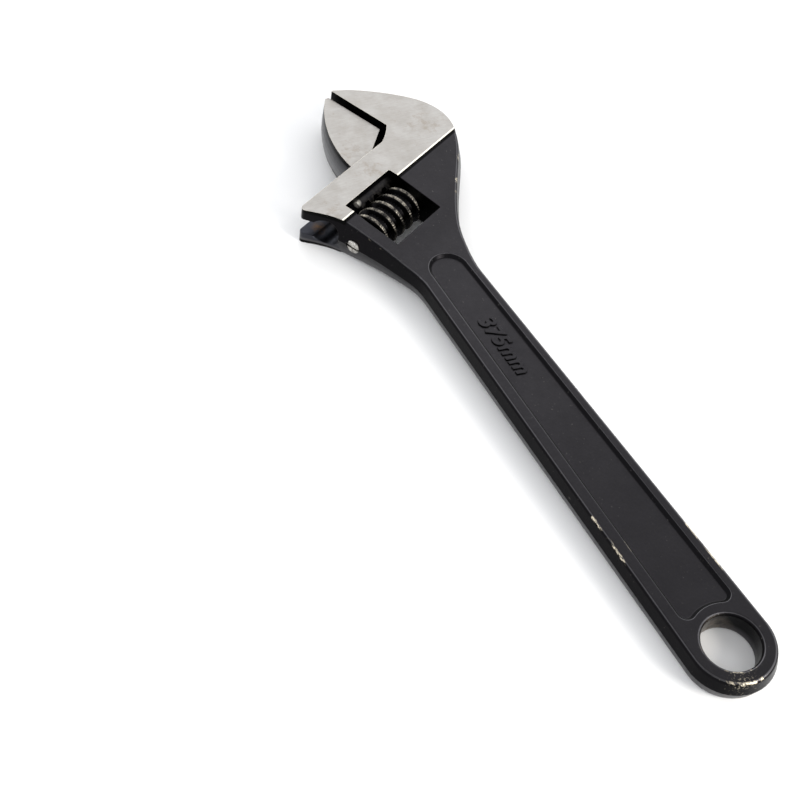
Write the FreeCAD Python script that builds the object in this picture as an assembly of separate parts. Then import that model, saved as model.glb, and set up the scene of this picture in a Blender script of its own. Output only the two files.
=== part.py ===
import FreeCAD, Part
import math
import os

# Adjustable wrench, millimetres.  The origin is the centre of the hang hole at
# mid-thickness.  +X runs along the handle to the head, +Y to the side the
# movable jaw opens towards, +Z out of the upper face.
# The head has its own axes: p points out along the jaws and q is the direction
# in which the movable jaw opens.  The head point (0, 0) is where the front edge
# of the head crosses the plane of the fixed jaw's flat.

V = FreeCAD.Vector

# Head frame
HEAD_ANGLE = math.radians(22.5)
HEAD_ORIGIN = V(315.7, -21.3, 0)

# Thickness and side draft of the forging
HEAD_HALF = 11.25
BLACK_HALF = 10.85
HANDLE_HALF = 6.25
POLISH_LINE_P = -20.8
SLOPE_END_P = -62.0
SIDE_DRAFT = 3.0 / 11.25
EDGE_ROUND = 1.6

# Handle
TAIL_RADIUS = 19.3
HANG_HOLE_RADIUS = 12.9
HANG_HOLE_ROUND = 1.4
NECK_NEAR = V(217.5, 15.9, 0)
NECK_BACK = V(217.0, -13.7, 0)

# Recessed panel in each face of the handle
PANEL_DEPTH = 1.7
PANEL_WALL_SPREAD = 1.5
PANEL_START_RADIUS = 18.9
PANEL_HALF_START = 13.1
PANEL_HALF_END = 9.2
PANEL_END_X = 225.2
PANEL_LEAN = 0.004
PANEL_SHIFT = -0.8
PANEL_CORNER = 3.0
PANEL_FLOOR_ROUND = 0.6
PANEL_MOUTH_ROUND = 0.7

# Fixed jaw
JAW_TIP_P = 43.0
THROAT_P = 6.2
THROAT_Q = 11.6
FRONT_END_Q = 76.6
FRONT_CORNER = 3.0

# Keyway that guides the movable jaw
KEYWAY_P = -13.4
KEYWAY_RADIUS = 7.6
KEYWAY_START_Q = -1.0
SLOT_HALF = 4.8
SLOT_START_Q = 12.0

# Knurl window
WINDOW_FRONT_P = -15.0
WINDOW_BACK_P = -48.2
WINDOW_START_Q = 25.3
WINDOW_END_Q = 60.5
WINDOW_CORNER = 0.6

# Adjusting knurl, a one-start worm, and its pin
KNURL_P = -29.3
KNURL_RADIUS = 11.0
KNURL_ROOT_RADIUS = 8.2
KNURL_START_Q = 30.2
KNURL_END_Q = 60.2
PITCH = 6.5
CREST_WIDTH = 2.1
THREAD_FLANK = 0.42
THREAD_PHASE_Q = 33.45
PIN_RADIUS = 3.6
PIN_CLEARANCE = 0.06
PIN_START_Q = 15.0
PIN_END_Q = 71.2
PIN_SLOT_WIDTH = 1.2
PIN_SLOT_DEPTH = 1.6

# Knurl spring, in a counterbore of the knurl
SPRING_WIRE_RADIUS = 0.45
SPRING_COIL_RADIUS = 4.8
SPRING_TURNS = 6.0
SPRING_START_Q = 26.0
SPRING_POCKET_RADIUS = 5.8
SPRING_POCKET_DEPTH = 8.0

# Movable jaw, drawn with the jaws open by JAW_GAP
JAW_GAP = 2.6
JAW_HALF = 8.5
JAW_BASE_P = 0.3
JAW_INNER_P = 8.4
JAW_CHAMFER_Q = 20.5
JAW_OUTER_Q = 34.8
JAW_BULGE = 1.3
JAW_STEPS = 3
RACK_RADIUS = 7.3
RACK_START_Q = 3.2
RACK_END_Q = 50.9
RACK_PLAIN_END = 3.0
WEB_START_Q = 19.0
WEB_END_Q = 34.2
WEB_HALF = 4.5
MESH_CLEARANCE = 0.35

P_AXIS = V(math.cos(HEAD_ANGLE), math.sin(HEAD_ANGLE), 0)
Q_AXIS = V(-math.sin(HEAD_ANGLE), math.cos(HEAD_ANGLE), 0)
Z_AXIS = V(0, 0, 1)


def head(p, q, z=0.0):
    """Point of the head frame in row coordinates."""
    return HEAD_ORIGIN + P_AXIS * p + Q_AXIS * q + Z_AXIS * z


def head_p(point):
    """Distance of a row point from the front edge, along p."""
    return (point - HEAD_ORIGIN).dot(P_AXIS)


def place_in_head(shape, p, q, z=0.0):
    """Move a shape drawn with x = p and y = q into the head frame."""
    turn = FreeCAD.Rotation(Z_AXIS, math.degrees(HEAD_ANGLE))
    shape.Placement = FreeCAD.Placement(head(p, q, z), turn)
    return shape


def head_box(p0, p1, q0, q1, z0, z1):
    """Box given by its limits in the head frame."""
    box = Part.makeBox(p1 - p0, q1 - q0, z1 - z0)
    return place_in_head(box, p0, q0, z0)


def head_cylinder(radius, p, q0, q1):
    """Cylinder lying along q at mid-thickness."""
    return Part.makeCylinder(radius, q1 - q0, head(p, q0), Q_AXIS)


def top_height(point):
    """Half thickness of the forging at a point."""
    p = head_p(point)
    if p > POLISH_LINE_P:
        return HEAD_HALF
    share = (p - SLOPE_END_P) / (POLISH_LINE_P - SLOPE_END_P)
    return HANDLE_HALF + (BLACK_HALF - HANDLE_HALF) * min(max(share, 0.0), 1.0)


def drafted(points, weights, level, side):
    """Shift upper-edge points sideways to where the side wall is at a level."""
    moved = []
    last = len(points) - 1
    for i, point in enumerate(points):
        along = points[min(i + 1, last)] - points[max(i - 1, 0)]
        outward = V(along.y, -along.x, 0) * side
        outward.normalize()
        out = SIDE_DRAFT * (top_height(point) - abs(level)) * weights[i]
        moved.append(point + outward * out + Z_AXIS * level)
    return moved


def tangent_from(point, radius, side):
    """Point where the tangent from a point touches the tail circle."""
    far = math.hypot(point.x, point.y)
    turn = math.atan2(point.y, point.x) + side * math.acos(radius / far)
    return V(radius * math.cos(turn), radius * math.sin(turn), 0)


def spline(points, start=None, end=None):
    """Smooth edge through points, with end directions when they are given."""
    curve = Part.BSplineCurve()
    if start is None:
        curve.interpolate(points)
    else:
        curve.interpolate(Points=points, InitialTangent=start, FinalTangent=end)
    return curve.toShape()


def back_points():
    """Upper edge of the back, from the neck round to the fixed jaw's tip."""
    inner = [(-72.0, 35.4), (-62.6, 28.0), (-52.4, 16.9), (-42.8, 3.8)]
    outer = [(-33.4, -9.8), (-21.3, -22.9), (-10.0, -28.3), (2.6, -28.2)]
    jaw = [(16.0, -22.6), (28.8, -14.2), (37.3, -7.2), (JAW_TIP_P - 0.1, -0.9)]
    return [NECK_BACK] + [head(p, q) for p, q in inner + outer + jaw]


def near_points():
    """Upper edge of the near side, from the front corner back to the neck."""
    pairs = [(-10.0, 72.8), (-18.5, 69.5), (-31.0, 68.4), (-45.0, 68.0), (-59.2, 68.6)]
    start = head(-FRONT_CORNER, FRONT_END_Q)
    return [start] + [head(p, q) for p, q in pairs] + [NECK_NEAR]


def body_outline(level):
    """Closed outline of the forging at a height above mid-thickness."""
    inset = SIDE_DRAFT * (HANDLE_HALF - abs(level))
    radius = TAIL_RADIUS + inset
    up = Z_AXIS * level
    back = drafted(back_points(), [1] * 10 + [0.6, 0.3, 0], level, 1)
    near = drafted(near_points(), [0, 0.6, 1, 1, 1, 1, 1], level, 1)
    back_touch = tangent_from(V(back[0].x, back[0].y, 0), radius, -1) + up
    near_touch = tangent_from(V(near[-1].x, near[-1].y, 0), radius, 1) + up
    tail = Part.Arc(near_touch, V(-radius, 0, level), back_touch).toShape()
    back_line = Part.LineSegment(back_touch, back[0]).toShape()
    back_start = (back[0] - back_touch).normalize()
    back_end = (back[-1] - back[-2]).normalize()
    back_curve = spline(back, back_start, back_end)
    tip = head(JAW_TIP_P, 0, level)
    tip_edge = Part.LineSegment(back[-1], tip).toShape()
    throat = [head(THROAT_P, 0, level), head(2.8, 5.2, level), head(0, THROAT_Q, level)]
    face = Part.LineSegment(tip, throat[0]).toShape()
    throat_curve = spline(throat)
    corner_start = head(0, FRONT_END_Q - 1.6, level)
    front = Part.LineSegment(throat[-1], corner_start).toShape()
    corner_mid = head(-0.75, FRONT_END_Q - 0.2, level)
    corner = Part.Arc(corner_start, corner_mid, near[0]).toShape()
    near_start = (near[1] - near[0]).normalize()
    near_end = (near_touch - near[-1]).normalize()
    near_curve = spline(near, near_start, near_end)
    near_line = Part.LineSegment(near[-1], near_touch).toShape()
    edges = [tail, back_line, back_curve, tip_edge, face]
    edges += [throat_curve, front, corner, near_curve, near_line]
    return Part.Wire(edges)


def thickness_envelope():
    """Everything within the forging's half thickness, a prism along q."""
    slope = (BLACK_HALF - HANDLE_HALF) / (POLISH_LINE_P - SLOPE_END_P)
    blend = 8.0
    upper = [
        V(60, 0, HEAD_HALF),
        V(POLISH_LINE_P, 0, HEAD_HALF),
        V(POLISH_LINE_P - 0.25, 0, BLACK_HALF),
        V(SLOPE_END_P + blend, 0, HANDLE_HALF + slope * blend),
        V(SLOPE_END_P - blend, 0, HANDLE_HALF),
        V(-360, 0, HANDLE_HALF),
    ]
    foot = V(SLOPE_END_P, 0, HANDLE_HALF + slope * 0.25 * blend)

    def flipped(point):
        return V(point.x, 0, -point.z)

    def run(points, low):
        edges = []
        for a, b in zip(points, points[1:]):
            if abs(a.x - upper[3].x) + abs(b.x - upper[4].x) < 0.01:
                arc = Part.Arc(a, flipped(foot) if low else foot, b)
                edges.append(arc.toShape())
            else:
                edges.append(Part.LineSegment(a, b).toShape())
        return edges

    lower = [flipped(point) for point in upper]
    edges = run(upper, False) + run(lower, True)
    edges.append(Part.LineSegment(upper[0], lower[0]).toShape())
    edges.append(Part.LineSegment(upper[-1], lower[-1]).toShape())
    profile = Part.Wire(Part.__sortEdges__(edges))
    prism = Part.Face(profile).extrude(V(0, 500, 0))
    return place_in_head(prism, 0, -150)


def panel_outline(grow, level):
    """Outline of the handle recess, grown sideways by a margin."""
    start = PANEL_START_RADIUS - grow
    wide = PANEL_HALF_START + grow
    slim = PANEL_HALF_END + grow
    x0 = math.sqrt(start ** 2 - wide ** 2)
    lean = math.degrees(math.atan(PANEL_LEAN))
    near0 = V(x0, wide, 0)
    back0 = V(x0, -wide, 0)
    near1 = V(PANEL_END_X, slim, 0)
    back1 = V(PANEL_END_X, -slim, 0)
    edges = [
        Part.Arc(back0, V(start, 0, 0), near0).toShape(),
        Part.LineSegment(near0, near1).toShape(),
        Part.Arc(near1, V(PANEL_END_X + slim, 0, 0), back1).toShape(),
        Part.LineSegment(back1, back0).toShape(),
    ]
    wire = Part.Wire(edges)
    wire.rotate(V(0, 0, 0), Z_AXIS, lean)
    wire.translate(V(0, PANEL_SHIFT, level))
    return wire


def panel_cutter():
    """Solid removed from the upper face to leave the recess, wider toward its mouth."""
    floor = HANDLE_HALF - PANEL_DEPTH
    rise = 6.0
    block = Part.Face(panel_outline(-PANEL_WALL_SPREAD / 2, floor)).extrude(V(0, 0, rise))
    corners = [e for e in block.Edges if is_upright(e) and e.CenterOfMass.x < 40]
    block = block.makeFillet(PANEL_CORNER, corners)
    foot = [f for f in block.Faces if f.BoundBox.ZMax < floor + 0.01][0].OuterWire
    mouth = foot.makeOffset2D(PANEL_WALL_SPREAD * rise / PANEL_DEPTH)
    mouth.translate(V(0, 0, rise))
    funnel = Part.makeLoft([foot, mouth], True, True)
    rim = [e for e in funnel.Edges if e.BoundBox.ZMax < floor + 0.01]
    return funnel.makeFillet(PANEL_FLOOR_ROUND, rim)


def is_upright(edge):
    """True for a straight edge along Z."""
    box = edge.BoundBox
    return box.XLength + box.YLength < 0.01 and box.ZLength > 0.5


def is_rim(edge):
    """True for the long edges of the faces behind the polished part of the head."""
    middle = edge.CenterOfMass
    flat = edge.BoundBox.ZLength < 4.5 and abs(middle.z) > HANDLE_HALF - 0.05
    curved = not isinstance(edge.Curve, Part.Line)
    return flat and curved and head_p(middle) < POLISH_LINE_P - 0.3


def is_panel_mouth(edge):
    """True for the edges where the recess meets the handle's faces."""
    box = edge.BoundBox
    inside = box.YMax < PANEL_HALF_START + 1.2 and box.YMin > -PANEL_HALF_START - 2.0
    beyond_ring = box.XMin > 8.0 and box.XMax < PANEL_END_X + 12
    return inside and beyond_ring and min(abs(box.ZMin), abs(box.ZMax)) > HANDLE_HALF - 0.05


def window_cutter():
    """Knurl window, cut right through the head."""
    block = head_box(WINDOW_BACK_P, WINDOW_FRONT_P, WINDOW_START_Q, WINDOW_END_Q, -15, 15)
    corners = [e for e in block.Edges if is_upright(e)]
    return block.makeFillet(WINDOW_CORNER, corners)


def hang_hole_cutter():
    """Hole with rounded mouths, as a solid turned about Z."""
    r = HANG_HOLE_RADIUS
    k = HANG_HOLE_ROUND
    h = HANDLE_HALF
    bend = k * (1 - math.sqrt(0.5))
    profile = [
        Part.LineSegment(V(0, 0, -h - 1), V(r + k, 0, -h - 1)),
        Part.LineSegment(V(r + k, 0, -h - 1), V(r + k, 0, -h)),
        Part.Arc(V(r + k, 0, -h), V(r + bend, 0, -h + bend), V(r, 0, -h + k)),
        Part.LineSegment(V(r, 0, -h + k), V(r, 0, h - k)),
        Part.Arc(V(r, 0, h - k), V(r + bend, 0, h - bend), V(r + k, 0, h)),
        Part.LineSegment(V(r + k, 0, h), V(r + k, 0, h + 1)),
        Part.LineSegment(V(r + k, 0, h + 1), V(0, 0, h + 1)),
        Part.LineSegment(V(0, 0, h + 1), V(0, 0, -h - 1)),
    ]
    wire = Part.Wire([segment.toShape() for segment in profile])
    return Part.Face(wire).revolve(V(0, 0, 0), Z_AXIS, 360)


def make_body():
    """Forged handle and head with the fixed jaw."""
    levels = [body_outline(level) for level in (-HEAD_HALF, 0.0, HEAD_HALF)]
    blank = Part.makeLoft(levels, True, True)
    body = blank.common(thickness_envelope())
    body = body.makeFillet(EDGE_ROUND, [e for e in body.Edges if is_rim(e)])
    upper = panel_cutter()
    lower = upper.mirror(V(0, 0, 0), Z_AXIS)
    body = body.cut(upper).cut(lower)
    body = body.makeFillet(PANEL_MOUTH_ROUND, [e for e in body.Edges if is_panel_mouth(e)])
    body = body.cut(hang_hole_cutter())
    body = body.cut(window_cutter())
    body = body.cut(head_cylinder(KEYWAY_RADIUS, KEYWAY_P, KEYWAY_START_Q, 95))
    body = body.cut(head_box(KEYWAY_P, 2, SLOT_START_Q, 95, -SLOT_HALF, SLOT_HALF))
    body = body.cut(head_cylinder(PIN_RADIUS + PIN_CLEARANCE, KNURL_P, PIN_START_Q - 0.3, 95))
    return body.Solids[0] if len(body.Solids) == 1 else body


def jaw_section(share):
    """Outline of the jaw's blade at a share of its half thickness, deeper than its flats."""
    out = JAW_BULGE * (1 - share * share)
    level = JAW_HALF * share
    base = head(JAW_BASE_P, JAW_OUTER_Q + out, level)
    curve = [
        base,
        head(10.8 + 0.3 * out, 31.8 + out, level),
        head(17.9 + 0.5 * out, 28.4 + 0.8 * out, level),
        head(26.8 + 0.7 * out, 22.6 + 0.6 * out, level),
        head(36.6 + 0.7 * out, 13.4 + 0.3 * out, level),
        head(43.4, JAW_GAP + 2.0, level),
    ]
    tip = head(42.2, JAW_GAP - 1.0, level)
    corner = head(JAW_BASE_P, JAW_GAP - 1.0, level)
    edges = [
        spline(curve),
        Part.LineSegment(curve[-1], tip).toShape(),
        Part.LineSegment(tip, corner).toShape(),
        Part.LineSegment(corner, base).toShape(),
    ]
    return Part.Wire(edges)


def make_jaw_blade():
    """Blade of the movable jaw in front of the head."""
    steps = range(-JAW_STEPS, JAW_STEPS + 1)
    block = Part.makeLoft([jaw_section(step / JAW_STEPS) for step in steps], True, True)
    low = -JAW_HALF - 1
    lean = (JAW_CHAMFER_Q - JAW_GAP) / (JAW_INNER_P - JAW_BASE_P)
    trim = Part.makePolygon([
        head(50, JAW_GAP, low),
        head(JAW_INNER_P, JAW_GAP, low),
        head(JAW_BASE_P - 1, JAW_CHAMFER_Q + lean, low),
        head(JAW_BASE_P - 1, -5, low),
        head(50, -5, low),
        head(50, JAW_GAP, low),
    ])
    return block.cut(Part.Face(trim).extrude(V(0, 0, 2 * JAW_HALF + 2)))


def thread_section(radius_in, radius_out, tip_width, wide):
    """Trapezoid of the thread in the p-q plane, centred on q = 0."""
    half_tip = tip_width / 2.0 + wide
    half_root = half_tip + (radius_out - radius_in) * THREAD_FLANK
    return [
        V(radius_in, -half_root, 0),
        V(radius_out, -half_tip, 0),
        V(radius_out, half_tip, 0),
        V(radius_in, half_root, 0),
        V(radius_in, -half_root, 0),
    ]


def rack_grooves():
    """Slanted grooves that the knurl's thread runs in."""
    half = RACK_RADIUS + 1.0
    rise = half * PITCH / (2 * math.pi * KNURL_RADIUS)
    out = KNURL_RADIUS + MESH_CLEARANCE
    section = thread_section(out - 4.0, out, CREST_WIDTH, MESH_CLEARANCE * 0.8)
    cutters = []
    first = math.ceil((RACK_START_Q + 1.0 - THREAD_PHASE_Q) / PITCH)
    last = math.floor((RACK_END_Q - RACK_PLAIN_END - THREAD_PHASE_Q) / PITCH)
    for i in range(first, last + 1):
        centre = THREAD_PHASE_Q + i * PITCH
        corners = [head(KNURL_P + c.x, centre + c.y + rise, -half) for c in section]
        along = Q_AXIS * (-2 * rise) + Z_AXIS * (2 * half)
        cutters.append(Part.Face(Part.makePolygon(corners)).extrude(along))
    return cutters


def make_movable_jaw():
    """Blade, web and toothed round slide in one piece."""
    rack = head_cylinder(RACK_RADIUS, KEYWAY_P, RACK_START_Q, RACK_END_Q)
    rims = [e for e in rack.Edges if e.Closed]
    rack = rack.makeChamfer(0.8, rims)
    for cutter in rack_grooves():
        rack = rack.cut(cutter)
    web = head_box(KEYWAY_P, JAW_BASE_P + 3, WEB_START_Q, WEB_END_Q, -WEB_HALF, WEB_HALF)
    jaw = make_jaw_blade().fuse(web).fuse(rack).removeSplitter()
    return jaw.Solids[0]


def make_knurl():
    """Worm with its bore and the counterbore for the spring."""
    length = KNURL_END_Q - KNURL_START_Q
    turns = math.ceil(length / PITCH) + 2
    below = THREAD_PHASE_Q - KNURL_START_Q
    start = below - PITCH * math.ceil(below / PITCH + 0.6)
    helix = Part.makeHelix(PITCH, turns * PITCH, KNURL_RADIUS)
    section = thread_section(KNURL_ROOT_RADIUS - 0.6, KNURL_RADIUS, CREST_WIDTH, 0.0)
    upright = [V(point.x, 0, point.y) for point in section]
    profile = Part.makePolygon(upright)
    ridge = Part.Wire(helix).makePipeShell([profile], True, True)
    ridge = Part.Solid(ridge) if ridge.ShapeType == "Shell" else ridge
    ridge.translate(V(0, 0, start))
    trim = Part.makeCylinder(KNURL_RADIUS + 1, length)
    ridge = ridge.common(trim)
    core = Part.makeCylinder(KNURL_ROOT_RADIUS, length)
    core = core.cut(Part.makeCylinder(PIN_RADIUS + PIN_CLEARANCE, length))
    core = core.cut(Part.makeCylinder(SPRING_POCKET_RADIUS, SPRING_POCKET_DEPTH))
    knurl = core.fuse(ridge)
    # The worm is drawn along Z with x = p, so +Z turns into q about the p axis.
    knurl.rotate(V(0, 0, 0), V(1, 0, 0), -90)
    return place_solid(knurl, KNURL_P, KNURL_START_Q)


def place_solid(shape, p, q):
    """Turn a shape drawn with x = p and y = q and move it into the head frame."""
    shape.rotate(V(0, 0, 0), Z_AXIS, math.degrees(HEAD_ANGLE))
    shape.translate(head(p, q))
    return shape.Solids[0]


def make_pin():
    """Knurl pin with a screwdriver slot in its free end."""
    pin = head_cylinder(PIN_RADIUS, KNURL_P, PIN_START_Q, PIN_END_Q)
    rims = [e for e in pin.Edges if e.Closed]
    pin = pin.makeChamfer(0.5, rims)
    half = PIN_SLOT_WIDTH / 2.0
    deep = PIN_END_Q - PIN_SLOT_DEPTH
    slot = head_box(KNURL_P - 5, KNURL_P + 5, deep, PIN_END_Q + 1, -half, half)
    return pin.cut(slot).Solids[0]


def make_spring():
    """Light coil spring round the pin."""
    room = KNURL_START_Q + SPRING_POCKET_DEPTH - SPRING_START_Q - 2 * SPRING_WIRE_RADIUS
    pitch = room / SPRING_TURNS
    helix = Part.makeHelix(pitch, pitch * SPRING_TURNS, SPRING_COIL_RADIUS)
    ring = Part.Circle(V(SPRING_COIL_RADIUS, 0, 0), V(0, 1, 0), SPRING_WIRE_RADIUS)
    profile = Part.Wire(ring.toShape())
    coil = Part.Wire(helix).makePipeShell([profile], True, True)
    coil.rotate(V(0, 0, 0), V(1, 0, 0), -90)
    return place_solid(coil, KNURL_P, SPRING_START_Q + SPRING_WIRE_RADIUS)


def main():
    os.makedirs("parts", exist_ok=True)
    nodes = {
        "body": make_body(),
        "movable_jaw": make_movable_jaw(),
        "adjusting_knurl": make_knurl(),
        "knurl_pin": make_pin(),
        "knurl_spring": make_spring(),
    }
    for name, shape in nodes.items():
        if not shape.isValid():
            print("not valid:", name)
        print(name, shape.ShapeType, round(shape.Volume), shape.BoundBox)
        shape.exportStep("parts/" + name + ".step")


main()
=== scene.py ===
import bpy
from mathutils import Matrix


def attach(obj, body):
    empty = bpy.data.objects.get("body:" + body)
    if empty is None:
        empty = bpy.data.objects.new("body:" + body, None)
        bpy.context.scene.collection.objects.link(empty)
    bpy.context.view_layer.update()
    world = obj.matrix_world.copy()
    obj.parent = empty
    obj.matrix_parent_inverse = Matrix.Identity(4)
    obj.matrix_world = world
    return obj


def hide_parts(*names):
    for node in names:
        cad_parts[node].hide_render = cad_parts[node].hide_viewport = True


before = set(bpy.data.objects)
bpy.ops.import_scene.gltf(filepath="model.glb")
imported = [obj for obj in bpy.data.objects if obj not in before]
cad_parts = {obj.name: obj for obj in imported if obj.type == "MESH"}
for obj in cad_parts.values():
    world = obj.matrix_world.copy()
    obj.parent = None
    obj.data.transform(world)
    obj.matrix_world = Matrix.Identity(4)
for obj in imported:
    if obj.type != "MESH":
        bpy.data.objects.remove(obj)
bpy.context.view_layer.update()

import math

import bmesh
import bpy
from mathutils import Matrix, Vector

# The head frame: p runs out along the jaws and q the way the movable jaw opens. Metres throughout.
HEAD_ANGLE = math.radians(22.5)
HEAD_ORIGIN = Vector((0.3157, -0.0213, 0.0))
P_AXIS = Vector((math.cos(HEAD_ANGLE), math.sin(HEAD_ANGLE), 0.0))
Q_AXIS = Vector((-math.sin(HEAD_ANGLE), math.cos(HEAD_ANGLE), 0.0))
MM = 0.001
POLISH_LINE_P = -20.8 * MM

# The knurl: size, pitch and phase as the frame has them, with a thread of its own shape.
KNURL_P = -29.3 * MM
KNURL_START_Q = 30.2 * MM
KNURL_END_Q = 60.2 * MM
KNURL_RADIUS = 11.0 * MM
KNURL_ROOT = 8.2 * MM
KNURL_BORE = 3.75 * MM
THREAD_PITCH = 6.5 * MM
THREAD_PHASE_Q = 33.45 * MM
CREST_HALF = 0.30 * MM
SHOULDER = 0.55 * MM
FLANK_SLOPE = 0.42
CREST_NOTCHES = 46
NOTCH_DEPTH = 0.22 * MM
END_CHAMFER = 0.35 * MM
POCKET_RADIUS = 5.8 * MM
# Clear of the spring's end by 0.08 mm.
POCKET_DEPTH = 8.08 * MM
WORM_COLUMNS = 276
WORM_ROWS = 150

# The raised size figure on the floor of the handle's recess.
PANEL_FLOOR_Z = 4.55 * MM
MARK_X = 192.5 * MM
MARK_Y = 4.2 * MM
MARK_SIZE = 11.5 * MM
MARK_RAISE = 1.1 * MM
MARK_SHEAR = 0.18
MARK_SPACING = 1.06
MARK_BEVEL = 0.10 * MM
MARK_SWELL = 0.30 * MM

# The recess in the handle: its middle line and half width, from the ring end to the head end.
PANEL_START_X = 13.0 * MM
PANEL_END_X = 225.2 * MM
PANEL_HALF_START = 13.1 * MM
PANEL_HALF_END = 9.2 * MM
PANEL_MIDDLE_Y = -0.8 * MM
# The knurl window in the head frame.
WINDOW_BACK_P = -48.2 * MM
WINDOW_FRONT_P = -15.0 * MM
WINDOW_START_Q = 25.3 * MM
WINDOW_END_Q = 60.5 * MM

# Where the finish has rubbed through, as (place in mm, radius in mm).
RUBBED = [
    ((-16.8, 6.6, 5.5), 12.0),
    ((52.0, -17.4, 5.6), 13.0),
    ((36.0, -17.8, 5.6), 13.0),
    ((73.0, 17.5, 5.8), 9.0),
    ((56.5, 17.8, 5.8), 11.0),
    ((285.5, -43.0, 8.5), 6.0),
    ((273.5, -35.0, 8.5), 6.0),
    ((-19.0, 2.0, -5.5), 12.0),
]
# Brown stains on the ground faces, the same way.
STAINED = [
    ((314.6, 5.5, 8.5), 9.0),
    ((307.7, 11.6, 8.5), 7.0),
    ((279.0, 36.0, 11.2), 9.0),
    ((315.0, -38.0, 11.2), 13.0),
    ((296.0, 6.0, 11.2), 10.0),
]

# Oil on the keyway's lower flank, and the bright end of the jaw's rack, bare steel with a painted
# highlight, the same way.
KEYWAY_OIL = [((284.0, 39.5, -5.2), 4.5)]
RACK_END_HIGHLIGHT = [((282.4, 19.6, 5.2), 2.6)]
# Ring of the hanging hole that counts as its bore.
BORE_INNER = 12.95 * MM
BORE_OUTER = 13.4 * MM

# Half thicknesses of the forgings, and where the slope behind the head ends.
TAIL_HALF = 6.25 * MM
SLOPE_END_P = -62 * MM
HEAD_HALF = 11.25 * MM
JAW_HALF = 8.5 * MM

# Strength of the light tent by the sine of the elevation.
TENT_FULL_BELOW = 0.80
TENT_DIM_ABOVE = 0.95
TENT_STRENGTH = 1.40
TENT_STRENGTH_TOP = 0.35

# The floor, which the tail's end and the head's underside both rest on.
TAIL_END_X = -21.0 * MM
HEAD_CONTACT_X = 295.0 * MM
FLOOR_GAP = 0.02 * MM
FLOOR_HALF = 1.6

# Viewing angle: metres in the row's frame, the lens in millimetres on a 36 mm sensor.
CAMERA_PLACE = Vector((-0.1532, 0.3104, 0.5218))
CAMERA_FORWARD = Vector((0.4869, -0.3794, -0.7867))
CAMERA_ROLL = math.radians(10.2)
CAMERA_LENS = 66.03
SENSOR_WIDTH = 36.0


def head(p, q, z=0.0):
    """Point of the head frame in row coordinates."""
    return HEAD_ORIGIN + P_AXIS * p + Q_AXIS * q + Vector((0.0, 0.0, z))


# ---------------------------------------------------------------- node helpers


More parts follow.
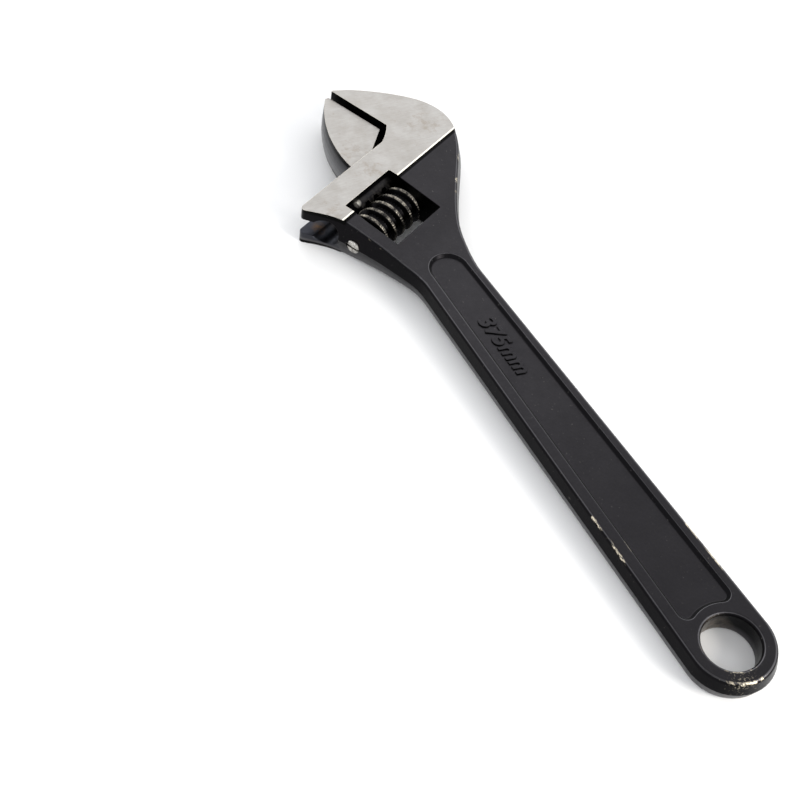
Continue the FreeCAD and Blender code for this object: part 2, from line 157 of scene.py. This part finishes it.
class Shader:
    """Short way to build a node material."""

    def __init__(self, name):
        self.material = bpy.data.materials.new(name)
        self.material.use_nodes = True
        self.tree = self.material.node_tree
        self.tree.nodes.clear()
        self.output = self.tree.nodes.new("ShaderNodeOutputMaterial")
        self.surface = self.tree.nodes.new("ShaderNodeBsdfPrincipled")
        self.link(self.surface.outputs["BSDF"], self.output.inputs["Surface"])
        self.coord = self.tree.nodes.new("ShaderNodeTexCoord").outputs["Object"]

    def link(self, source, target):
        self.tree.links.new(source, target)

    def put(self, socket, value):
        """Set an input to a number, a colour or another node's output."""
        if isinstance(value, bpy.types.NodeSocket):
            self.link(value, socket)
        elif socket.type == "RGBA" and len(value) == 3:
            socket.default_value = (*value, 1.0)
        else:
            socket.default_value = value

    def math(self, kind, first, second=0.0):
        node = self.tree.nodes.new("ShaderNodeMath")
        node.operation = kind
        self.put(node.inputs[0], first)
        self.put(node.inputs[1], second)
        return node.outputs[0]

    def vector_math(self, kind, first, second):
        node = self.tree.nodes.new("ShaderNodeVectorMath")
        node.operation = kind
        self.put(node.inputs[0], first)
        self.put(node.inputs[1], second)
        return node.outputs["Value" if kind in ("DOT_PRODUCT", "DISTANCE") else "Vector"]

    def ramp(self, value, low, high, out_low=0.0, out_high=1.0):
        """Straight map of a value from low..high to out_low..out_high, clamped."""
        node = self.tree.nodes.new("ShaderNodeMapRange")
        self.put(node.inputs["Value"], value)
        self.put(node.inputs["From Min"], low)
        self.put(node.inputs["From Max"], high)
        self.put(node.inputs["To Min"], out_low)
        self.put(node.inputs["To Max"], out_high)
        return node.outputs["Result"]

    def mix(self, share, first, second):
        """Colour mix."""
        node = self.tree.nodes.new("ShaderNodeMix")
        node.data_type = "RGBA"
        self.put(node.inputs["Factor"], share)
        self.put(node.inputs[6], first)
        self.put(node.inputs[7], second)
        return node.outputs[2]

    def blend(self, share, first, second):
        """Mix of two numbers."""
        node = self.tree.nodes.new("ShaderNodeMix")
        node.data_type = "FLOAT"
        self.put(node.inputs["Factor"], share)
        self.put(node.inputs["A"], first)
        self.put(node.inputs["B"], second)
        return node.outputs[0]

    def noise(self, size, detail=2.0, rough=0.5, where=None):
        """Noise whose features are about size metres across."""
        node = self.tree.nodes.new("ShaderNodeTexNoise")
        self.put(node.inputs["Vector"], self.coord if where is None else where)
        node.inputs["Scale"].default_value = 1.0 / size
        node.inputs["Detail"].default_value = detail
        node.inputs["Roughness"].default_value = rough
        return node.outputs["Fac"]

    def stretched(self, angle, along, across):
        """Coordinates for streaks that run along a direction in the plane."""
        node = self.tree.nodes.new("ShaderNodeMapping")
        self.put(node.inputs["Vector"], self.coord)
        node.vector_type = "TEXTURE"
        node.inputs["Rotation"].default_value = (0.0, 0.0, angle)
        node.inputs["Scale"].default_value = (along, across, across)
        return node.outputs["Vector"]

    def split(self):
        node = self.tree.nodes.new("ShaderNodeSeparateXYZ")
        self.put(node.inputs[0], self.coord)
        return node.outputs

    def normal_z(self):
        """Upright part of the surface's own normal."""
        geometry = self.tree.nodes.new("ShaderNodeNewGeometry")
        node = self.tree.nodes.new("ShaderNodeSeparateXYZ")
        self.put(node.inputs[0], geometry.outputs["Normal"])
        return node.outputs[2]

    def along(self, axis, origin):
        """Distance of the shaded point from origin along an axis."""
        node = self.vector_math("DOT_PRODUCT", self.coord, tuple(axis))
        return self.math("SUBTRACT", node, origin.dot(axis))

    def product(self, *factors):
        """All the factors multiplied together."""
        total = factors[0]
        for factor in factors[1:]:
            total = self.math("MULTIPLY", total, factor)
        return total

    def from_line(self, first, second):
        """Distance from the line where two coordinates are both zero."""
        squares = self.math("MULTIPLY", first, first), self.math("MULTIPLY", second, second)
        return self.math("SQRT", self.math("ADD", *squares))

    def patches(self, spots):
        """1 in the middle of the nearest spot, fading to 0 at its radius."""
        total = 0.0
        for place, radius in spots:
            away = self.vector_math("DISTANCE", self.coord, tuple(value * MM for value in place))
            total = self.math("MAXIMUM", total, self.ramp(away, radius * MM, 0.25 * radius * MM))
        return total

    def edges(self, radius, low, high):
        """1 on sharp outer edges, from how far the rounded normal leaves the true one."""
        bevel = self.tree.nodes.new("ShaderNodeBevel")
        bevel.samples = 8
        self.rounded = bevel.outputs[0]
        bevel.inputs["Radius"].default_value = radius
        geometry = self.tree.nodes.new("ShaderNodeNewGeometry")
        turn = self.vector_math("DOT_PRODUCT", bevel.outputs[0], geometry.outputs["Normal"])
        return self.ramp(turn, high, low)

    def bump(self, height, strength, distance, below=None):
        node = self.tree.nodes.new("ShaderNodeBump")
        node.inputs["Strength"].default_value = strength
        node.inputs["Distance"].default_value = distance
        self.put(node.inputs["Height"], height)
        if below is not None:
            self.put(node.inputs["Normal"], below)
        return node.outputs["Normal"]

    def finish(self, **values):
        for name, value in values.items():
            self.put(self.surface.inputs[name.replace("_", " ")], value)
        return self.material


# ------------------------------------------------------------------- materials

# Black of the walls, darker than the flats as painted shade.
BLACK_SHADED_WALL = (0.007, 0.0067, 0.0074)
BLACK_FLAT = (0.0235, 0.0225, 0.0245)
BLACK_CLOUD = (0.031, 0.0295, 0.032)
# Painted shadow at the foot of the step by the polish line.
BLACK_STEP_SHADOW = (0.003, 0.003, 0.003)
DUST = (0.09, 0.085, 0.08)
# Painted highlight on rounded mouths and rims.
RIM_HIGHLIGHT = (0.105, 0.102, 0.108)
STEEL_GROUND = (0.415, 0.402, 0.385)
STEEL_DULL = (0.335, 0.317, 0.293)
STEEL_STAIN = (0.225, 0.175, 0.125)
# Painted highlight on ground steel edges and on the rack's end.
STEEL_HIGHLIGHT = (0.95, 0.90, 0.79)
STEEL_WORN = (0.66, 0.59, 0.46)
STEEL_SCUFFED = (0.24, 0.205, 0.155)
STEEL_CREST = (0.33, 0.30, 0.25)
OIL_BROWN = (0.085, 0.052, 0.030)
OIL_BLUE = (0.032, 0.034, 0.042)
BORE_BROWN = (0.20, 0.17, 0.135)
# Painted reflection of the floor on the lower walls of the body and the jaw.
WALL_REFLECTION_BODY = (0.125, 0.122, 0.128)
WALL_REFLECTION_JAW = (0.20, 0.20, 0.205)
# Below a ground face, or behind its line, the ground finish stops at the first and is full at the second.
GROUND_EDGE = (0.06 * MM, 0.03 * MM)
JAW_GROUND_FROM_P = -2.0 * MM
KEYWAY_P = -13.4 * MM


def ground_colour(s):
    """Ground steel: fine grinding lines, dull patches and a few brown stains."""
    lines = s.noise(0.5 * MM, 3.0, 0.6, s.stretched(HEAD_ANGLE + math.radians(62), 14.0, 0.8))
    patches = s.ramp(s.noise(9 * MM, 4.0, 0.6), 0.36, 0.68)
    stained = s.math("MULTIPLY", s.patches(STAINED), 0.16)
    blotches = s.math("ADD", s.noise(4.0 * MM, 5.0, 0.7), stained)
    stains = s.ramp(blotches, 0.60, 0.78)
    pits = s.ramp(s.noise(0.7 * MM, 3.0, 0.7), 0.66, 0.74)
    base = s.mix(s.math("MULTIPLY", patches, 0.8), STEEL_GROUND, STEEL_DULL)
    base = s.mix(s.math("MULTIPLY", s.ramp(lines, 0.35, 0.75), 0.40), base, STEEL_DULL)
    base = s.mix(s.math("MULTIPLY", pits, 0.35), base, STEEL_STAIN)
    return s.mix(s.math("MULTIPLY", stains, 0.38), base, STEEL_STAIN), lines


def black_colour(s, wall, facing_up):
    """Black oxide over forged steel: greyer on the flats that face up, with painted shade making the
    walls deep black.
    """
    cloud = s.ramp(s.noise(16 * MM, 4.0, 0.6), 0.35, 0.7)
    grain = s.ramp(s.noise(0.9 * MM, 3.0, 0.6), 0.35, 0.7)
    flat = s.mix(s.math("MULTIPLY", cloud, 0.6), BLACK_FLAT, BLACK_CLOUD)
    flat = s.mix(s.math("MULTIPLY", grain, 0.35), flat, BLACK_CLOUD)
    return s.mix(facing_up, wall, flat), grain


def steel_and_black(name, ground_height, line_p, wall_reflection, reflection_from, reflection_to):
    """Forging with black oxide all over, ground bright on its flats ahead of a line.

    The walls get a painted reflection of the floor toward the bottom, in the given colour, between two
    heights given as shares of the half thickness.
    """
    s = Shader(name)
    x, y, z = s.split()
    height = s.math("ABSOLUTE", z)
    is_flat = s.ramp(height, ground_height - GROUND_EDGE[0], ground_height - GROUND_EDGE[1])
    p = s.along(P_AXIS, HEAD_ORIGIN)
    q = s.along(Q_AXIS, HEAD_ORIGIN)
    ahead = s.ramp(p, line_p - GROUND_EDGE[0], line_p - GROUND_EDGE[1])
    ground = s.math("MULTIPLY", is_flat, ahead)
    steel, lines = ground_colour(s)
    upright = s.math("ABSOLUTE", s.normal_z())
    half = s.ramp(p, SLOPE_END_P, line_p, TAIL_HALF, ground_height)
    low = s.ramp(s.math("DIVIDE", z, half), reflection_from, reflection_to)
    # Inside the knurl window the walls get no painted reflection and keep the painted shade.
    inside = s.product(
        s.ramp(p, WINDOW_BACK_P - MM, WINDOW_BACK_P),
        s.ramp(p, WINDOW_FRONT_P + MM, WINDOW_FRONT_P),
        s.ramp(q, WINDOW_START_Q - MM, WINDOW_START_Q),
        s.ramp(q, WINDOW_END_Q + MM, WINDOW_END_Q))
    outside = s.math("SUBTRACT", 1.0, inside)
    # Walls: painted shade, lighter toward the bottom with a painted floor reflection.
    wall = s.mix(s.math("MULTIPLY", low, outside), BLACK_SHADED_WALL, wall_reflection)
    # Flats facing up stay greyer; the walls take the painted-shade black.
    black = black_colour(s, wall, s.ramp(upright, 0.80, 0.97))[0]

    # The foot of the step at the polish line gets a painted shadow, deep black.
    step_shadow = s.ramp(p, line_p - 1.9 * MM, line_p - 1.4 * MM)
    near_top = s.ramp(height, ground_height - 2.2 * MM, ground_height - 1.8 * MM)
    step_shadow = s.math("MULTIPLY", step_shadow, near_top)
    black = s.mix(step_shadow, black, BLACK_STEP_SHADOW)

    # The recess's own edges keep their finish.
    recess_half = s.ramp(x, PANEL_START_X, PANEL_END_X, PANEL_HALF_START, PANEL_HALF_END)
    from_middle = s.math("ABSOLUTE", s.math("SUBTRACT", y, PANEL_MIDDLE_Y))
    past_recess = s.ramp(s.math("SUBTRACT", from_middle, recess_half), 0.9 * MM, 1.4 * MM)
    past_recess = s.math("MAXIMUM", past_recess, s.ramp(x, PANEL_START_X, PANEL_START_X - 2 * MM))
    head_side = s.ramp(x, PANEL_END_X + 10 * MM, PANEL_END_X + 14 * MM)
    past_recess = s.math("MAXIMUM", past_recess, head_side)

    # Bright metal shows where the finish has rubbed off a rounded rim or a sharp edge.
    rim = s.math("MULTIPLY", s.ramp(upright, 0.45, 0.65), s.ramp(upright, 0.988, 0.975))
    sharp = s.edges(0.45 * MM, 0.80, 0.97)
    edge = s.math("MAXIMUM", rim, sharp)
    near_tail = s.ramp(x, 60 * MM, -20 * MM)
    rubbed = s.patches(RUBBED)
    wear_line = s.math("SUBTRACT", 0.67, s.math("MULTIPLY", rubbed, 0.25))
    strokes = s.stretched(0.0, 3.0, 1.0)
    over_line = s.math("SUBTRACT", s.noise(3 * MM, 4.0, 0.65, strokes), wear_line)
    scuffs = s.ramp(over_line, 0.0, 0.05)
    specks = s.ramp(s.noise(0.6 * MM, 2.0, 0.6, strokes), 0.40, 0.52)
    worn = s.product(edge, scuffs, specks, past_recess)
    chip_line = s.math("SUBTRACT", 0.70, s.product(rubbed, near_tail, 0.14))
    chips = s.ramp(s.math("SUBTRACT", s.noise(0.9 * MM, 3.0, 0.7), chip_line), 0.0, 0.05)
    chips = s.math("MULTIPLY", chips, s.ramp(near_tail, 0.0, 0.3))
    worn = s.math("MAXIMUM", worn, s.math("MULTIPLY", chips, 0.3))

    # Rounded mouths and rims get a painted highlight, and a little dust lies over everything.
    mouth_rim_highlight = s.product(
        s.ramp(upright, 0.84, 0.90),
        s.ramp(upright, 0.988, 0.975),
        s.ramp(height, TAIL_HALF - 0.6 * MM, TAIL_HALF - 0.3 * MM),
        s.ramp(p, line_p - 1.0 * MM, line_p - 3.0 * MM))
    black = s.mix(s.math("MULTIPLY", mouth_rim_highlight, 0.8), black, RIM_HIGHLIGHT)
    dust = s.ramp(s.noise(1.3 * MM, 2.0, 0.6), 0.70, 0.74)
    black = s.mix(s.math("MULTIPLY", dust, 0.5), black, DUST)
    black = s.mix(worn, black, s.mix(rubbed, STEEL_SCUFFED, STEEL_WORN))

    # The bore of the hanging hole is painted brown toward the head, the near side and its bottom.
    bore = s.ramp(s.from_line(x, y), BORE_OUTER, BORE_INNER)
    bore_side = s.math("ADD", s.math("MULTIPLY", x, 0.8), s.math("MULTIPLY", y, 0.6))
    bore_side = s.math("SUBTRACT", bore_side, s.math("MULTIPLY", z, 0.8))
    bore_side = s.product(s.ramp(bore_side, 1 * MM, 11 * MM), s.ramp(s.noise(4 * MM, 4.0, 0.6), 0.3, 0.6))
    black = s.mix(s.math("MULTIPLY", bore, bore_side), black, BORE_BROWN)

    # Oil has browned the keyway's lower flank by its open end, with a blue film round it.
    mouth = s.product(
        s.ramp(q, 60 * MM, 64 * MM),
        s.ramp(z, -2.0 * MM, -3.5 * MM),
        s.ramp(height, 8.2 * MM, 7.4 * MM),
        s.ramp(p, -21.5 * MM, -20.5 * MM))
    oiled = s.patches(KEYWAY_OIL)
    oiled = s.math("MULTIPLY", oiled, s.ramp(s.noise(2 * MM, 3.0, 0.6), 0.35, 0.55))
    film = s.mix(oiled, OIL_BLUE, OIL_BROWN)
    black = s.mix(s.math("MULTIPLY", mouth, 0.8), black, film)

    # Sharp edges of the ground faces and a strip along the polish line get a painted highlight.
    bright = s.math("MULTIPLY", s.ramp(sharp, 0.1, 0.5), 0.9)
    line_highlight = s.ramp(p, line_p + 0.95 * MM, line_p + 0.65 * MM)
    steel = s.mix(s.math("MAXIMUM", bright, line_highlight), steel, STEEL_HIGHLIGHT)
    colour = s.mix(ground, black, steel)
    black_rough = s.ramp(s.noise(3 * MM, 3.0, 0.6), 0.3, 0.7, 0.30, 0.40)
    steel_rough = s.ramp(lines, 0.3, 0.7, 0.42, 0.55)
    rough = s.blend(ground, black_rough, steel_rough)

    # Forged skin on the black, grinding lines on the steel, rounded rims everywhere.
    skin = s.noise(1.6 * MM, 3.0, 0.55)
    amount = s.blend(ground, skin, s.math("MULTIPLY", lines, 0.12))
    normal = s.bump(amount, 0.30, 0.20 * MM, s.rounded)
    return s, colour, rough, normal


def body_material():
    """Finish of the handle and head."""
    s, colour, rough, normal = steel_and_black(
        "forged_steel", HEAD_HALF, POLISH_LINE_P, WALL_REFLECTION_BODY, -0.15, -1.0)
    return s.finish(Base_Color=colour, Metallic=1.0, Roughness=rough, Normal=normal)


def jaw_material():
    """Finish of the movable jaw, with the rack's end rubbed bright and given a painted highlight, its
    teeth rubbed a little, and its part inside the head painted dark as shade.
    """
    s, colour, rough, normal = steel_and_black(
        "jaw_steel", JAW_HALF, JAW_GROUND_FROM_P, WALL_REFLECTION_JAW, 0.9, -0.5)
    p = s.along(P_AXIS, HEAD_ORIGIN)
    radius = s.from_line(s.math("SUBTRACT", p, KEYWAY_P), s.split()[2])
    tooth = s.product(
        s.ramp(radius, 6.7 * MM, 7.1 * MM),
        s.ramp(p, -13 * MM, -15 * MM),
        s.ramp(s.noise(1.5 * MM, 3.0, 0.6), 0.4, 0.6))
    end_land_highlight = s.patches(RACK_END_HIGHLIGHT)
    # The part of the jaw inside the head is painted near black, as painted shade.
    inside = s.ramp(p, -1.5 * MM, -2.5 * MM)
    colour = s.mix(s.math("MULTIPLY", inside, 0.85), colour, BLACK_SHADED_WALL)
    colour = s.mix(s.math("MULTIPLY", tooth, 0.02), colour, STEEL_WORN)
    # The rack's end is bare steel with a painted highlight.
    colour = s.mix(s.product(end_land_highlight, inside, 0.9), colour, STEEL_HIGHLIGHT)
    return s.finish(Base_Color=colour, Metallic=1.0, Roughness=rough, Normal=normal)


def knurl_material():
    """Black oxide on the worm with its crests rubbed bright."""
    s = Shader("knurl_black")
    # The worm takes mostly the painted-shade black of the walls.
    black, grain = black_colour(s, BLACK_SHADED_WALL, 0.2)
    away = s.math("SUBTRACT", s.along(P_AXIS, HEAD_ORIGIN), KNURL_P)
    radius = s.from_line(away, s.split()[2])
    crest = s.ramp(radius, KNURL_RADIUS - 0.55 * MM, KNURL_RADIUS - 0.15 * MM)
    gaps = s.ramp(s.noise(2.4 * MM, 4.0, 0.7), 0.40, 0.64, 0.06, 0.9)
    worn = s.math("MULTIPLY", crest, gaps)
    colour = s.mix(worn, black, STEEL_CREST)
    rough = s.ramp(grain, 0.0, 1.0, 0.26, 0.4)
    normal = s.bump(s.noise(0.8 * MM, 2.0), 0.25, 0.1 * MM)
    return s.finish(Base_Color=colour, Metallic=1.0, Roughness=rough, Normal=normal)


def pin_material():
    """Bare turned steel."""
    s = Shader("pin_steel")
    marks = s.noise(0.5 * MM, 3.0, 0.6)
    dirt = s.ramp(s.noise(1.6 * MM, 4.0, 0.7), 0.42, 0.60)
    colour = s.mix(s.math("MULTIPLY", dirt, 0.75), (0.60, 0.585, 0.55), (0.12, 0.11, 0.10))
    rough = s.ramp(marks, 0.3, 0.7, 0.22, 0.4)
    normal = s.bump(marks, 0.3, 0.1 * MM)
    return s.finish(Base_Color=colour, Metallic=1.0, Roughness=rough, Normal=normal)


def spring_material():
    """Drawn spring wire."""
    s = Shader("spring_wire")
    drawn = s.noise(0.4 * MM, 3.0, 0.6)
    colour = s.mix(s.ramp(drawn, 0.4, 0.7), (0.55, 0.54, 0.52), (0.30, 0.27, 0.24))
    rough = s.ramp(drawn, 0.3, 0.7, 0.25, 0.4)
    return s.finish(Base_Color=colour, Metallic=1.0, Roughness=rough,
                    Normal=s.bump(drawn, 0.2, 0.05 * MM))


def floor_material():
    """Matt white studio sweep."""
    s = Shader("studio_floor")
    cloud = s.noise(120 * MM, 3.0, 0.5)
    colour = s.mix(s.ramp(cloud, 0.3, 0.7), (0.90, 0.90, 0.90), (0.93, 0.93, 0.925))
    return s.finish(Base_Color=colour, Roughness=0.75,
                    Normal=s.bump(s.noise(1.5 * MM, 2.0), 0.1, 0.1 * MM))


def dress(obj, material):
    """Give every slot of an object one material, on the object."""
    if not obj.material_slots:
        obj.data.materials.append(material)
    for slot in obj.material_slots:
        slot.link = "OBJECT"
        slot.material = material


# ---------------------------------------------------------------------- pieces


def add_piece(name, mesh, body):
    piece = bpy.data.objects.new(name, mesh)
    bpy.context.scene.collection.objects.link(piece)
    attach(piece, body)
    return piece


def thread_radius(offset, angle):
    """Radius of the worm at a distance along the axis from the nearest crest's middle."""
    side = abs(offset)
    if side < CREST_HALF:
        drop = 0.0
    elif side < CREST_HALF + SHOULDER:
        drop = SHOULDER * (1 - math.sqrt(1 - ((side - CREST_HALF) / SHOULDER) ** 2)) * 0.8
    else:
        drop = 0.8 * SHOULDER + (side - CREST_HALF - SHOULDER) / FLANK_SLOPE
    radius = max(KNURL_RADIUS - drop, KNURL_ROOT)
    notch = 0.5 + 0.5 * math.cos(angle * CREST_NOTCHES)
    on_crest = max(0.0, 1 - side / (CREST_HALF + SHOULDER))
    return radius - NOTCH_DEPTH * notch ** 3 * min(1.0, 2 * on_crest)


def knurl_worm():
    """The adjusting worm: one notched thread on a bored barrel, as a closed grid."""
    length = KNURL_END_Q - KNURL_START_Q
    inner = [
        (KNURL_END_Q, KNURL_BORE),
        (KNURL_START_Q + POCKET_DEPTH, KNURL_BORE),
        (KNURL_START_Q + POCKET_DEPTH, POCKET_RADIUS),
        (KNURL_START_Q, POCKET_RADIUS),
    ]
    bm = bmesh.new()
    grid = []
    for row in range(WORM_ROWS + 1):
        q = KNURL_START_Q + length * row / WORM_ROWS
        from_end = min(q - KNURL_START_Q, KNURL_END_Q - q)
        line = []
        for column in range(WORM_COLUMNS):
            angle = 2 * math.pi * column / WORM_COLUMNS
            along = q - THREAD_PHASE_Q - THREAD_PITCH * angle / (2 * math.pi)
            offset = along - THREAD_PITCH * round(along / THREAD_PITCH)
            radius = thread_radius(offset, angle) - max(0.0, END_CHAMFER - from_end)
            spot = head(KNURL_P + radius * math.cos(angle), q, -radius * math.sin(angle))
            line.append(bm.verts.new(spot))
        grid.append(line)
    for q, radius in inner:
        line = []
        for column in range(WORM_COLUMNS):
            angle = 2 * math.pi * column / WORM_COLUMNS
            spot = head(KNURL_P + radius * math.cos(angle), q, -radius * math.sin(angle))
            line.append(bm.verts.new(spot))
        grid.append(line)
    for row, line in enumerate(grid):
        following = grid[(row + 1) % len(grid)]
        for column in range(WORM_COLUMNS):
            beside = (column + 1) % WORM_COLUMNS
            bm.faces.new((line[column], following[column], following[beside], line[beside]))
    bmesh.ops.recalc_face_normals(bm, faces=bm.faces)
    mesh = bpy.data.meshes.new("knurl_worm")
    bm.to_mesh(mesh)
    bm.free()
    for face in mesh.polygons:
        face.use_smooth = True
    mesh.set_sharp_from_angle(angle=math.radians(50))
    worm = add_piece("knurl_worm", mesh, "adjusting_knurl")
    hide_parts("adjusting_knurl")
    return worm


def text_mesh(text, size, place, raise_by):
    """Raised slanted lettering that reads toward the tail, as one closed mesh."""
    curve = bpy.data.curves.new("lettering", "FONT")
    curve.body = text
    curve.size = size
    curve.shear = MARK_SHEAR
    curve.extrude = raise_by / 2
    curve.bevel_depth = MARK_BEVEL
    curve.bevel_resolution = 1
    curve.offset = MARK_SWELL
    curve.space_character = MARK_SPACING
    holder = bpy.data.objects.new("lettering", curve)
    mesh = bpy.data.meshes.new_from_object(holder)
    bpy.data.objects.remove(holder)
    bpy.data.curves.remove(curve)
    turned = Matrix.Translation(place) @ Matrix.Rotation(math.pi, 4, "Z")
    mesh.transform(turned)
    return mesh


def size_mark():
    """The nominal size, raised on the panel's floor."""
    place = Vector((MARK_X, MARK_Y, PANEL_FLOOR_Z))
    mesh = text_mesh("375mm", MARK_SIZE, place, MARK_RAISE)
    return add_piece("size_mark", mesh, "handle_and_head")


# -------------------------------------------------------------- floor and light


def make_floor():
    """A wide plain floor that the tail and the head both rest on."""
    drop = (HEAD_HALF - TAIL_HALF) / (HEAD_CONTACT_X - TAIL_END_X)
    half = FLOOR_HALF
    mesh = bpy.data.meshes.new("studio_floor")
    bm = bmesh.new()
    corners = []
    for x, y in ((-half, -half), (half, -half), (half, half), (-half, half)):
        z = -TAIL_HALF - FLOOR_GAP - (x - TAIL_END_X) * drop
        corners.append(bm.verts.new((x, y, z)))
    bm.faces.new(corners)
    bm.to_mesh(mesh)
    bm.free()
    floor = bpy.data.objects.new("studio_floor", mesh)
    bpy.context.scene.collection.objects.link(floor)
    floor.data.materials.append(floor_material())


def area_light(name, place, aim, size, power, colour=(1.0, 1.0, 1.0)):
    data = bpy.data.lights.new(name, "AREA")
    data.shape = "RECTANGLE"
    data.size, data.size_y = size
    data.energy = power
    data.color = colour
    lamp = bpy.data.objects.new(name, data)
    lamp.location = place
    lamp.rotation_mode = "QUATERNION"
    lamp.rotation_quaternion = (Vector(aim) - Vector(place)).to_track_quat("-Z", "Y")
    bpy.context.scene.collection.objects.link(lamp)
    return lamp


def make_light():
    """A light tent, dimmer straight overhead, and two soft boxes behind the tool."""
    world = bpy.data.worlds.new("studio")
    world.use_nodes = True
    tree = world.node_tree
    back = tree.nodes["Background"]
    back.inputs["Color"].default_value = (0.97, 0.98, 1.0, 1.0)
    coord = tree.nodes.new("ShaderNodeTexCoord")
    parts = tree.nodes.new("ShaderNodeSeparateXYZ")
    tree.links.new(coord.outputs["Generated"], parts.inputs[0])
    fall = tree.nodes.new("ShaderNodeMapRange")
    fall.interpolation_type = "SMOOTHSTEP"
    tree.links.new(parts.outputs["Z"], fall.inputs["Value"])
    fall.inputs["From Min"].default_value = TENT_FULL_BELOW
    fall.inputs["From Max"].default_value = TENT_DIM_ABOVE
    fall.inputs["To Min"].default_value = TENT_STRENGTH
    fall.inputs["To Max"].default_value = TENT_STRENGTH_TOP
    tree.links.new(fall.outputs["Result"], back.inputs["Strength"])
    bpy.context.scene.world = world
    area_light("head_soft", (0.98, -0.45, 0.76), (0.25, 0.0, 0.0), (0.8, 0.8), 1.6)
    area_light("tail_soft", (-0.62, -0.42, 0.45), (0.0, 0.0, 0.0), (0.34, 0.34), 7.0,
               (1.0, 0.97, 0.92))


def make_camera():
    """The viewing angle: from the open side of the jaws, above, toward the tail."""
    forward = CAMERA_FORWARD.normalized()
    level = forward.cross(Vector((0, 0, 1))).normalized()
    above = level.cross(forward).normalized()
    right = level * math.cos(CAMERA_ROLL) + above * math.sin(CAMERA_ROLL)
    up = right.cross(forward)
    data = bpy.data.cameras.new("camera")
    data.sensor_width = SENSOR_WIDTH
    data.lens = CAMERA_LENS
    data.clip_start = 0.01
    camera = bpy.data.objects.new("camera", data)
    turn = Matrix((right, up, -forward)).transposed().to_4x4()
    camera.matrix_world = Matrix.Translation(CAMERA_PLACE) @ turn
    bpy.context.scene.collection.objects.link(camera)
    bpy.context.scene.camera = camera


black_and_steel = body_material()
dress(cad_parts["body"], black_and_steel)
dress(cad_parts["movable_jaw"], jaw_material())
dress(knurl_worm(), knurl_material())
dress(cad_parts["knurl_pin"], pin_material())
dress(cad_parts["knurl_spring"], spring_material())
dress(size_mark(), black_and_steel)
make_floor()
make_light()
make_camera()
bpy.context.scene.view_settings.view_transform = "Standard"
